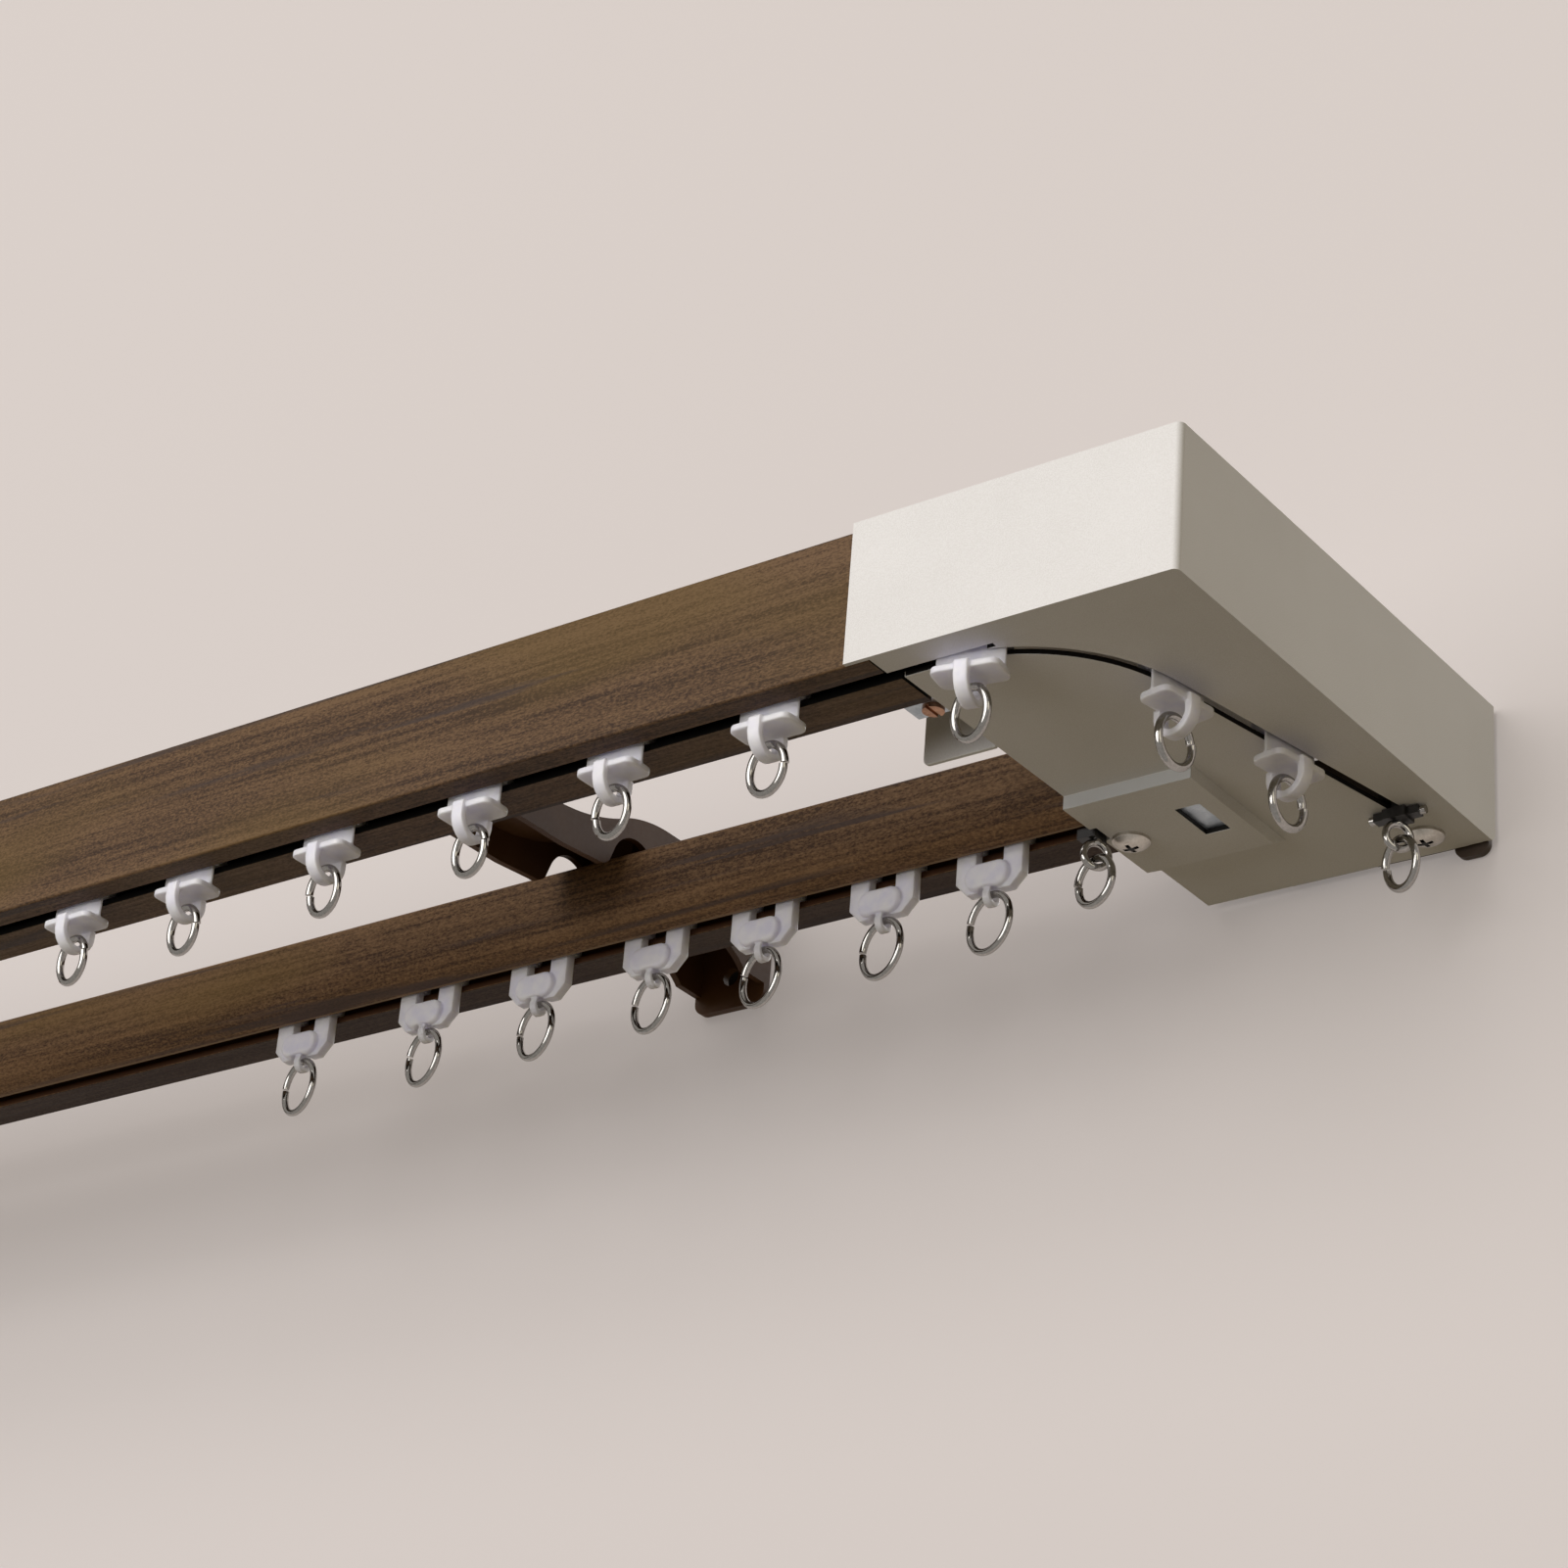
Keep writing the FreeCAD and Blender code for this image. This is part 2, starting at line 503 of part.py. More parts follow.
# Rear runner: two arms up into the channel, a clipped shield with a rounded boss and a thin drilled eye
def rear_runner():
    outer, inner, thick = 8.2, 3.4, 1.3
    corner, low, foot = -5.8, -8.7, 5.4
    shield = Part.Face(Part.makePolygon([
        V(-outer, -thick, 0.2), V(-outer, -thick, corner), V(-foot, -thick, low), V(foot, -thick, low),
        V(outer, -thick, corner), V(outer, -thick, 0.2), V(inner, -thick, 0.2), V(inner, -thick, -3.0),
        V(-inner, -thick, -3.0), V(-inner, -thick, 0.2), V(-outer, -thick, 0.2)]))
    shield = shield.extrude(V(0, 2 * thick, 0))
    heads = [Part.makeBox(outer - inner, 7.0, 2.8, V(x, -3.4, 1.8)) for x in (-outer, inner)]
    arms = [Part.makeBox(outer - inner, 2 * thick, 2.4, V(x, -thick, 0)) for x in (-outer, inner)]
    swell, proud, bottom = 3.0, 1.4, -8.4
    boss = Part.makeBox(11.0, proud + thick, 2 * swell, V(-5.5, -thick - proud, bottom))
    boss = boss.makeFillet(swell - 0.05, [e for e in boss.Edges if abs(e.Length - proud - thick) < 0.01])
    boss = boss.makeFillet(1.0, [e for e in boss.Edges if all(v.Y < -thick - proud + 0.01 for v in e.Vertexes)])
    arch = Part.makeCylinder(5.0, 8, V(0, -4, low - 4.2), V(0, 1, 0))
    body = shield.fuse(heads + arms + [boss]).removeSplitter().cut(arch)
    slim, drum_radius, drum_z = 0.9, 2.2, -9.7
    stem = Part.makeBox(2 * slim, 3.4, -drum_z - 6.5, V(-slim, -1.9, drum_z))
    drum = Part.makeCylinder(drum_radius, 2 * slim, V(-slim, 0, drum_z), V(1, 0, 0))
    hole = Part.makeCylinder(1.45, 4 * slim, V(-2 * slim, 0, REAR_HOLE_Z), V(1, 0, 0))
    eye = stem.fuse(drum).cut(hole)
    return body.fuse(eye).removeSplitter().cut(hole)


# Split wire ring hanging below a seat height, in the X-Z plane before it is turned, with the cut at one side
def ring(size, seat, cut_side):
    radius = (size - WIRE) / 2
    centre = V(0, 0, seat - radius)
    angle = 2 * math.asin(RING_GAP / 2 / radius)
    start = V(cut_side * radius * math.cos(angle / 2), 0, radius * math.sin(angle / 2))
    section = Part.Wire(Part.Circle(centre + start, start.cross(V(0, 1, 0)), WIRE / 2).toShape())
    turn = Part.Face(section).revolve(centre, V(0, -cut_side, 0), 360 - math.degrees(angle))
    return turn


def placed(shape, place, lean=0.0):
    part = shape.copy()
    part.rotate(V(0, 0, 0), V(0, 0, 1), math.degrees(lean))
    part.translate(place)
    return part


# Black stop of a track: a head in the channel, a neck in the slot, a body below and a bar across it
def stopper_body(body_x, bar_x):
    head = Part.makeBox(6.0, 5.6, 2.2, V(-3.0, -2.8, 1.7))
    neck = Part.makeBox(2.0, 2.2, 3.0, V(-1.0, -1.1, -0.6))
    body = Part.makeBox(body_x[1] - body_x[0], 4.4, 2.2, V(body_x[0], -2.2, -2.5))
    bar = Part.makeBox(bar_x[1] - bar_x[0], 2.4, 1.8, V(bar_x[0], -1.2, -2.1))
    socket = Part.makeCylinder(0.9, 1.4, V(0, 0, -2.5))
    return head.fuse([neck, body, bar]).removeSplitter().cut(socket)


def stopper_eye():
    wire = STOPPER_EYE_WIRE / 2
    loop = Part.makeTorus(STOPPER_EYE_RADIUS, wire, V(0, 0, STOPPER_EYE_Z), V(1, 0, 0))
    loop.rotate(V(0, 0, 0), V(0, 0, 1), -STOPPER_EYE_TURN)
    low = STOPPER_EYE_Z + STOPPER_EYE_RADIUS
    shank = Part.makeCylinder(0.9, -1.1 - low, V(0, 0, low))
    return loop.fuse(shank)


def stopper_pins(wing):
    return [Part.makeCylinder(0.9, 1.2, V(x, 0, -1.2), V(1, 0, 0)) for x in (-wing - 1.2, wing)]


# Places along the tracks: each is a point on the underside and the lean of the slot there
def front_places():
    straight = [(V(x, depth(FRONT_SLOT_D), height(0)), 0.0) for x in FRONT_RINGS_X]
    start, centre, finish, end, leg = slot_points()
    angle = math.asin((CAP_RIGHT - ARC_RUNNER_INSET - centre.x) / SLOT_RADIUS)
    arc = centre + V(math.sin(angle), -math.cos(angle), 0) * SLOT_RADIUS
    curved = [(V(arc.x, arc.y, height(0)), angle)]
    leaning = []
    for d in LEG_RUNNERS_D:
        point = finish + leg * ((depth(d) - finish.y) / leg.y)
        leaning.append((V(point.x, point.y, height(0)), math.pi / 2 - SLOT_LEAN))
    return straight + curved + leaning


def rear_places():
    return [(V(x, depth(REAR_SLOT_D), height(REAR_BOTTOM)), 0.0) for x in REAR_RINGS_X]


def stopper_places():
    start, centre, finish, end, leg = slot_points()
    point = finish + leg * ((depth(STOPPER_D) - finish.y) / leg.y)
    return [V(point.x, point.y, height(0)), V(REAR_STOPPER_X, depth(REAR_SLOT_D), height(REAR_BOTTOM))]


def save_runners():
    runner = front_runner()
    loop = ring(FRONT_RING, RING_SEAT_FRONT, 1)
    leg_turn = math.pi / 2 - SLOT_LEAN + LEG_RING_TURN
    ring_turns = [RING_TURN] * len(FRONT_RINGS_X) + [ARC_RING_TURN] + [leg_turn] * len(LEG_RUNNERS_D)
    for k, (place, lean) in enumerate(front_places(), 1):
        save("front_runner_%d" % k, placed(runner, place, lean))
        save("front_ring_%d" % k, placed(loop, place, ring_turns[k - 1]))
    runner = rear_runner()
    loop = ring(REAR_RING, RING_SEAT_REAR, -1)
    for k, (place, lean) in enumerate(rear_places(), 1):
        save("rear_runner_%d" % k, placed(runner, place, lean))
        save("rear_ring_%d" % k, placed(loop, place, RING_TURN))


def save_stoppers():
    front, rear = stopper_places()
    seat = STOPPER_EYE_Z - STOPPER_EYE_RADIUS + STOPPER_EYE_WIRE / 2 + WIRE / 2 + 0.35
    loop = ring(FRONT_RING, seat, -1)
    wings = (-STOPPER_WING, STOPPER_WING)
    short = (-3.4, 0.95)
    for name, place, body_x, bar_x in (("front", front, (-2.5, 2.5), wings), ("rear", rear, short, short)):
        save(name + "_stopper", placed(stopper_body(body_x, bar_x), place))
        save(name + "_stopper_eye", placed(stopper_eye(), place))
        save(name + "_stopper_ring", placed(loop, place, RING_TURN))
    save("stopper_pins", Part.makeCompound([placed(pin, front) for pin in stopper_pins(STOPPER_WING)]))


save("front_rail", front_rail())
save("rear_rail", rear_rail())
save("front_end_cap", end_cap(FRONT_FACE, FRONT_DEPTH, 0, FRONT_HEIGHT))
save("rear_end_cap", end_cap(REAR_FACE, REAR_DEPTH, REAR_BOTTOM, REAR_HEIGHT))
save("cap_shell", cap_shell())
save("cap_base", cap_base())
save("cap_screws", cap_screws())
save("cap_wall_bracket", cap_wall_bracket())
save("rail_end_plate", rail_end_plate())
save("connector_plate", connector_plate())
save("connector_screw", connector_screw())
save("inner_brace", inner_brace())
save("bracket_right", bracket(0.0))
save("bracket_left", bracket(BRACKET_LEFT_X))
save_runners()
save_stoppers()
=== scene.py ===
import math

import bpy
from mathutils import Matrix, Vector


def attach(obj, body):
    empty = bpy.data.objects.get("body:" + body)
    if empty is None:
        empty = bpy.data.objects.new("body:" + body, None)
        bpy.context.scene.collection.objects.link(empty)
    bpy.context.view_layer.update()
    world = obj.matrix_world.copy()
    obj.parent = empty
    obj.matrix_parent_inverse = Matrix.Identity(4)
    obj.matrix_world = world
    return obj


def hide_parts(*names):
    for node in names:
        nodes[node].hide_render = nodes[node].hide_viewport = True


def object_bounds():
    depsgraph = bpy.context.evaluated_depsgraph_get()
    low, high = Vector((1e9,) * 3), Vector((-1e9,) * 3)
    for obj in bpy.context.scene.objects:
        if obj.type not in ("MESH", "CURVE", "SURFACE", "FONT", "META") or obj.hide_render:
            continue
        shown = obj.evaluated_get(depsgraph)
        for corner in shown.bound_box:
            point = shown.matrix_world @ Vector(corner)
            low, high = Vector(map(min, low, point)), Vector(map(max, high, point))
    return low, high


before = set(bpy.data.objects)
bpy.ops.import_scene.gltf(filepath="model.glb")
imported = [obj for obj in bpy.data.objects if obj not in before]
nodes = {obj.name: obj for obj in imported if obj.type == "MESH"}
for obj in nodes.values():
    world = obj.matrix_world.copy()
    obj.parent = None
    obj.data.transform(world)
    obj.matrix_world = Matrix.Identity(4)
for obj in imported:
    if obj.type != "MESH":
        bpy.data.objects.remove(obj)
cad_low, cad_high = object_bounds()
scene = bpy.context.scene
scene.view_settings.view_transform = "Standard"
bpy.ops.object.select_all(action="DESELECT")


# Camera: it stands below and to the right of the track, looks up and to the left at its return cap,
# and leans a little to the right. The track fills the frame from its left edge to near its right one.
CAMERA_PLACE = Vector((0.50652, -0.62520, -0.37524))
CAMERA_TURN = math.radians(38.492)
CAMERA_RISE = math.radians(27.223)
CAMERA_ROLL = math.radians(4.785)
CAMERA_LENS = 86.92
SENSOR_WIDTH = 36
NEAREST, FARTHEST = 0.01, 20


def add_camera():
    bpy.ops.object.camera_add(location=CAMERA_PLACE)
    camera = bpy.context.object
    ahead = Vector((-math.sin(CAMERA_TURN) * math.cos(CAMERA_RISE),
                    math.cos(CAMERA_TURN) * math.cos(CAMERA_RISE), math.sin(CAMERA_RISE)))
    level = ahead.cross(Vector((0, 0, 1))).normalized()
    above = level.cross(ahead)
    right = level * math.cos(CAMERA_ROLL) + above * math.sin(CAMERA_ROLL)
    up = above * math.cos(CAMERA_ROLL) - level * math.sin(CAMERA_ROLL)
    turned = Matrix((right, up, -ahead)).transposed()
    camera.matrix_world = Matrix.Translation(CAMERA_PLACE) @ turned.to_4x4()
    camera.data.sensor_width = SENSOR_WIDTH
    camera.data.lens = CAMERA_LENS
    camera.data.clip_start, camera.data.clip_end = NEAREST, FARTHEST
    scene.camera = camera


add_camera()


# Wall and light: a plain pale wall carries the track, takes its soft shadow and has dark discs of
# painted shade at the screw holes of the right bracket. A large soft lamp stands in front, a small warm
# one to the right and one behind. The surround is warm and dim, but the camera and reflections see it as
# a plain pale grey.
MM = 0.001  # places are in metres, and the sizes that this multiplies are in millimetres
WALL_COLOUR = (0.491, 0.452, 0.436, 1)
WALL_GLOW = (0.195, 0.182, 0.178, 1)
WALL_GLOW_LEVEL = 1.0
WALL_ROUGHNESS = 0.9
WALL_GAP = 0.0006
WALL_REACH = 3.0
HOLE_RADIUS = 2.6
HOLE_HEIGHTS = (-13.5, 13.5)
HOLE_CORNERS = 32
HOLE_SPECKLE = 900
# Speckled painted shade of the drilled holes.
HOLE_SHADE_DARK, HOLE_SHADE_LIGHT = "0b0907", "1a1511"
TRACK_MIDDLE = Vector((0, 0, 0))
KEY_PLACE = Vector((-0.4, -2.6, 0.5))
KEY_SIZE = 3.0
KEY_POWER = 76.0
KEY_COLOUR = (1.0, 0.985, 0.985)
SIDE_PLACE = Vector((1.6, -0.9, 0.2))
SIDE_AIM = Vector((0.1, 0, 0))
SIDE_SIZE = 0.9
SIDE_POWER = 2.5
SIDE_COLOUR = (1.0, 0.93, 0.74)
BACK_PLACE = Vector((0.3, 2.4, 1.3))
BACK_SIZE = 1.8
BACK_POWER = 34.0
SURROUND = (1.0, 0.80, 0.48, 1)
SURROUND_LEVEL = 0.14
BACKDROP = (0.46, 0.44, 0.42, 1)
BACKDROP_LEVEL = 1.0


class Tone:
    """One socket of a material. Sums on it add Math nodes, and put() adds any other node."""

    def __init__(self, tree, socket):
        self.tree = tree
        self.socket = socket

    def put(self, kind, settings=None, sockets=None, out=None):
        """A node of this kind, with its settings, then the values or links of its sockets."""
        node = self.tree.nodes.new(kind)
        for name, value in (settings or {}).items():
            if name == "stops":
                self.set_stops(node.color_ramp, value)
            else:
                setattr(node, name, value)
        for name, value in (sockets or {}).items():
            found = node.inputs[name] if isinstance(name, int) else next(
                s for s in node.inputs if s.enabled and s.name == name)
            if isinstance(value, Tone):
                self.tree.links.new(value.socket, found)
            else:
                found.default_value = value
        shown = [s for s in node.outputs if s.enabled]
        return Tone(self.tree, shown[0] if out is None else next(s for s in shown if s.name == out))

    @staticmethod
    def set_stops(ramp, stops):
        while len(ramp.elements) < len(stops):
            ramp.elements.new(0.5)
        for element, (place, colour) in zip(ramp.elements, stops):
            element.position = place
            element.color = colour

    def maths(self, operation, first, second, clamp=False):
        return self.put("ShaderNodeMath", {"operation": operation, "use_clamp": clamp},
                        {0: first, 1: second})

    def __add__(self, other):
        return self.maths("ADD", self, other)

    def __radd__(self, other):
        return self.maths("ADD", other, self)

    def __sub__(self, other):
        return self.maths("SUBTRACT", self, other)

    def __rsub__(self, other):
        return self.maths("SUBTRACT", other, self)

    def __mul__(self, other):
        return self.maths("MULTIPLY", self, other)

    def __rmul__(self, other):
        return self.maths("MULTIPLY", other, self)

    def noise(self, scale, stretch=(1, 1, 1), detail=3.0, roughness=0.5, warp=0.0):
        place = self.put("ShaderNodeMapping", None, {"Vector": self, "Scale": stretch})
        return self.put("ShaderNodeTexNoise", None, {
            "Vector": place, "Scale": scale, "Detail": detail, "Roughness": roughness,
            "Distortion": warp})

    def between(self, low, high, to_low=0.0, to_high=1.0):
        return self.put("ShaderNodeMapRange", None, {
            "Value": self, "From Min": low, "From Max": high, "To Min": to_low, "To Max": to_high})

    def tint(self, first, second):
        """A colour that goes from first to second with this value."""
        return self.put("ShaderNodeMix", {"data_type": "RGBA"},
                        {"Factor": self, "A": first, "B": second})

    def relief(self, strength, distance):
        return self.put("ShaderNodeBump", None, {
            "Height": self, "Strength": strength, "Distance": distance})


def srgb(code):
    """Linear colour of a six-digit screen colour."""
    parts = [int(code[k:k + 2], 16) / 255 for k in (0, 2, 4)]
    return (*[c / 12.92 if c <= 0.04045 else ((c + 0.055) / 1.055) ** 2.4 for c in parts], 1)


def new_material(name):
    """A material, its main shader and a Tone that holds the object's own coordinates."""
    material = bpy.data.materials.new(name)
    material.use_nodes = True
    tree = material.node_tree
    shader = tree.nodes["Principled BSDF"]
    place = Tone(tree, None).put("ShaderNodeTexCoord", out="Object")
    return material, shader, place


def feed(shader, **sockets):
    """Sets or links sockets of a shader; base_color stands for Base Color."""
    for name, value in sockets.items():
        socket = shader.inputs[name.replace("_", " ").title().replace("Ior", "IOR")]
        if isinstance(value, Tone):
            value.tree.links.new(value.socket, socket)
        else:
            socket.default_value = value


def dress(piece, material):
    piece.data.materials.clear()
    piece.data.materials.append(material)


def seen_or_reflected(start):
    """One for what the camera or a reflection sees, and zero for all other light."""
    seen = start.put("ShaderNodeLightPath", out="Is Camera Ray")
    reflected = start.put("ShaderNodeLightPath", out="Is Glossy Ray")
    return start.maths("ADD", seen, reflected, clamp=True)


def shown_from_front(material, shader):
    """Shows a surface to the camera and in reflections from its front only; it blocks no light."""
    tree = material.node_tree
    start = Tone(tree, None)
    shown = seen_or_reflected(start) * (1 - start.put("ShaderNodeNewGeometry", out="Backfacing"))
    clear = start.put("ShaderNodeBsdfTransparent")
    mixed = start.put("ShaderNodeMixShader", None, {
        0: shown, 1: clear, 2: Tone(tree, shader.outputs[0])})
    tree.links.new(mixed.socket, tree.nodes["Material Output"].inputs["Surface"])


def add_wall():
    bpy.ops.mesh.primitive_plane_add(size=2 * WALL_REACH, location=(0, WALL_GAP, 0),
                                     rotation=(math.radians(90), 0, 0))
    wall = bpy.context.object
    wall.name = "wall"
    material, shader = new_material("wall")[:2]
    feed(shader, base_color=WALL_COLOUR, roughness=WALL_ROUGHNESS, emission_color=WALL_GLOW,
         emission_strength=WALL_GLOW_LEVEL)
    shown_from_front(material, shader)
    dress(wall, material)


def drill_hole(height):
    """A dark disc of painted shade just in front of the wall, where a screw hole is drilled."""
    bpy.ops.mesh.primitive_circle_add(vertices=HOLE_CORNERS, radius=HOLE_RADIUS * MM, fill_type="NGON",
                                      location=(0, WALL_GAP / 2, height * MM),
                                      rotation=(math.radians(90), 0, 0))
    drilled = bpy.context.object
    drilled.name = "drilled_hole"
    dark, shader, place = new_material("drilled_hole")
    feed(shader, base_color=place.noise(HOLE_SPECKLE).tint(srgb(HOLE_SHADE_DARK), srgb(HOLE_SHADE_LIGHT)),
         roughness=WALL_ROUGHNESS)
    shown_from_front(dark, shader)
    dress(drilled, dark)


def add_lamp(name, place, size, power, colour, aim):
    bpy.ops.object.light_add(type="AREA", location=place)
    lamp = bpy.context.object
    lamp.name = name
    lamp.data.shape = "DISK"
    lamp.data.size = size
    lamp.data.energy = power
    lamp.data.color = colour
    lamp.rotation_mode = "QUATERNION"
    lamp.rotation_quaternion = (aim - place).to_track_quat("-Z", "Y")


def add_surround():
    world = bpy.data.worlds.new("surround")
    world.use_nodes = True
    scene.world = world
    tree = world.node_tree
    lit = tree.nodes["Background"]
    lit.inputs["Color"].default_value = SURROUND
    lit.inputs["Strength"].default_value = SURROUND_LEVEL
    start = Tone(tree, None)
    pale = start.put("ShaderNodeBackground", None, {"Color": BACKDROP, "Strength": BACKDROP_LEVEL})
    mixed = start.put("ShaderNodeMixShader", None, {
        0: seen_or_reflected(start), 1: Tone(tree, lit.outputs[0]), 2: pale})
    tree.links.new(mixed.socket, tree.nodes["World Output"].inputs["Surface"])


add_wall()
for height in HOLE_HEIGHTS:
    drill_hole(height)
add_lamp("key_lamp", KEY_PLACE, KEY_SIZE, KEY_POWER, KEY_COLOUR, TRACK_MIDDLE)
add_lamp("side_lamp", SIDE_PLACE, SIDE_SIZE, SIDE_POWER, SIDE_COLOUR, SIDE_AIM)
add_lamp("back_lamp", BACK_PLACE, BACK_SIZE, BACK_POWER, KEY_COLOUR, TRACK_MIDDLE)
add_surround()


# Rails: two extruded profiles wrapped in walnut-patterned film. The grain runs along the rail in fine
# streaks, with broad olive and dark bands, and the sawn ends are closed by plain caps in the same film.
# The channels in which the runners slide are darkened with painted shade. The rear rail has a rolled
# lip with a painted highlight along its edge, and painted shade along part of its underside. The film is
# painted darker on the front rail and its end cap and lighter on the rear ones, as painted light.
FILM_DARK = srgb("3c2c21")
FILM_MID = srgb("5f4833")
FILM_LIGHT = srgb("745a40")
FILM_OLIVE = srgb("6b552b")
FILM_VEIN = srgb("413632")
# Painted light: the film is painted darker on the front rail and its end cap, lighter on the rear ones.
FILM_PAINTED_LIGHT = {"front_rail": 0.89, "rear_rail": 1.57, "front_end_cap": 0.89, "rear_end_cap": 1.2}
FILM_ROUGHNESS, FILM_ROUGHNESS_SPAN = 0.5, 0.12
FILM_SHINE = 0.15
FILM_RELIEF = (0.2, 0.0001)
FILM_RELIEF_SHARE = 0.5
# Scale, stretch, detail, roughness and warp of each pattern in the grain, and its share of the tone or
# the range of its values that shows and how much that covers.
STREAKS, STREAKS_SHARE = (1000, (0.022, 1, 1), 4, 0.6), 0.34
BANDS, BANDS_SHARE = (120, (0.04, 1, 1), 2, 0.5, 0.3), 0.22
SPECKS, SPECKS_SHARE = (2400, (0.45, 1, 1), 2, 0.7), 0.44
GRAIN_RANGE = (0.415, 0.585)
PATCHES, PATCHES_RANGE, PATCHES_COVER = (30, (0.25, 1, 1), 2, 0.5), (0.48, 0.64), 0.42
VEINS, VEINS_RANGE, VEINS_COVER = (230, (0.03, 1, 1), 3, 0.55, 0.4), (0.58, 0.66), 0.85
# Parts of a rail with painted shade, and the rear rail's painted highlight, as limits in millimetres.
SHADED_CHANNELS = {"front_rail": {"Y": (-123.2, -106.8), "Z": (-23.95, 5.5)},
            "rear_rail": {"Y": (-48.75, -37.0), "Z": (-25.35, -8.0)}}
CHANNEL_SHADES = {"front_rail": srgb("0d0b09"), "rear_rail": srgb("5a3d2b")}
SHADED_LIP = {"Y": (-44.4, -35.5), "Z": (-25.75, -25.5)}
LIP_SHADE, LIP_SHADE_COVER = srgb("281a13"), 0.85
LIT_EDGE = {"Y": (-49.2, -48.75), "Z": (-25.75, -25.3)}
LIT_EDGE_TONE = srgb("8a735c")


def within(place, **limits):
    """One where the coordinates lie within the given limits in millimetres and zero elsewhere."""
    mask = None
    for axis, (low, high) in limits.items():
        along = place.put("ShaderNodeSeparateXYZ", None, {"Vector": place}, axis)
        band = along.maths("GREATER_THAN", along, low * MM) * along.maths("LESS_THAN", along, high * MM)
        mask = band if mask is None else mask * band
    return mask


def walnut_film(name, lift):
    """Printed film with a fine relief; lift is painted light: how bright the film is painted on this
    piece.
    """
    material, shader, place = new_material("walnut_film_" + name)
    streaks = place.noise(*STREAKS)
    specks = place.noise(*SPECKS)
    bands = place.noise(*BANDS)
    patches = place.noise(*PATCHES).between(*PATCHES_RANGE, 0.0, PATCHES_COVER)
    veins = place.noise(*VEINS).between(*VEINS_RANGE)
    tone = (streaks * STREAKS_SHARE + bands * BANDS_SHARE + specks * SPECKS_SHARE).between(*GRAIN_RANGE)
    base = tone.put("ShaderNodeValToRGB", {"stops": [
        (0.0, FILM_DARK), (0.5, FILM_MID), (1.0, FILM_LIGHT)]}, {"Fac": tone})
    printed = (veins * VEINS_COVER).tint(patches.tint(base, FILM_OLIVE), FILM_VEIN)
    # Painted light: the printed colour is scaled by this piece's lift.
    colour = printed.put("ShaderNodeVectorMath", {"operation": "SCALE"},
                         {"Vector": printed, "Scale": lift})
    if name == "rear_rail":
        # Painted shade along the rear rail's underside, and a painted highlight along its rolled lip.
        colour = (within(place, **SHADED_LIP) * LIP_SHADE_COVER).tint(colour, LIP_SHADE)
        colour = within(place, **LIT_EDGE).tint(colour, LIT_EDGE_TONE)
    # Painted shade in the channels.
    if name in SHADED_CHANNELS:
        colour = within(place, **SHADED_CHANNELS[name]).tint(colour, CHANNEL_SHADES[name])
    grain = streaks * FILM_RELIEF_SHARE + specks * FILM_RELIEF_SHARE
    feed(shader, base_color=colour, roughness=(1 - tone) * FILM_ROUGHNESS_SPAN + FILM_ROUGHNESS,
         normal=grain.relief(*FILM_RELIEF), specular_ior_level=FILM_SHINE)
    return material


for name, lift in FILM_PAINTED_LIGHT.items():
    dress(nodes[name], walnut_film(name, lift))


# Return cap: a shell bent from one sheet, and a base plate with a curved slot and a pressed tray, both
# sprayed with a fine silver coating that sparkles slightly, as is the brace that stands between the
# rails. The sheet's upright corner and its edges are slightly rounded. The inner faces of the shell and
# the base are darkened with painted shade.
COAT = srgb("e4e3e2")
COAT_SHADE = srgb("d8d6d4")
# Painted shade for the inner faces.
COAT_PAINTED_SHADE = srgb("15120f")
BARE_METAL = srgb("c9cbcc")
COAT_FLAKES, COAT_FLAKES_SHARE = 5200, 0.8
COAT_CLOUD, COAT_CLOUD_SHARE = 60, 0.2
COAT_ROUGHNESS = (0.54, 0.66)
COAT_RELIEF = (0.12, 0.00005)
COAT_METALLIC = 0.08
COAT_SHINE = 0.25
# The range of a cloudy and of a fine pattern's values over which a finish goes from end to end.
CLOUDY, FINE = (0.35, 0.65), (0.3, 0.7)
# Painted shade on the inner faces, which lie in deep shade, and the tray's bright front edge, as limits
# in millimetres.
COAT_SHADE_AND_BARE_EDGE = {
    "cap_shell": [({"X": (100, 193.9), "Y": (-124.4, 0), "Z": (-22.95, 6.45)}, COAT_PAINTED_SHADE)],
    "cap_base": [({"X": (128.8, 195), "Y": (-130, 0), "Z": (-23.9, 0)}, COAT_PAINTED_SHADE),
                 ({"X": (148.3, 154.2), "Y": (-48.9, -36.4), "Z": (-26.92, 0)}, COAT_PAINTED_SHADE),
                 ({"X": (128, 158.6), "Y": (-59.5, -59.2), "Z": (-27, -24.1)}, BARE_METAL)]}
CORNER_BEND, CORNER_STEPS = 0.0008, 5
EDGE_ROUNDINGS = {"cap_shell": 0.00022, "cap_base": 0.00018, "inner_brace": 0.0002}
EDGE_STEPS = 2
ROUNDED_FROM = math.radians(40)
SMOOTH_BELOW = math.radians(35)
MERGE_REACH, MERGE_ANGLE = 0.000002, math.radians(0.5)
TOUCH = 0.00001


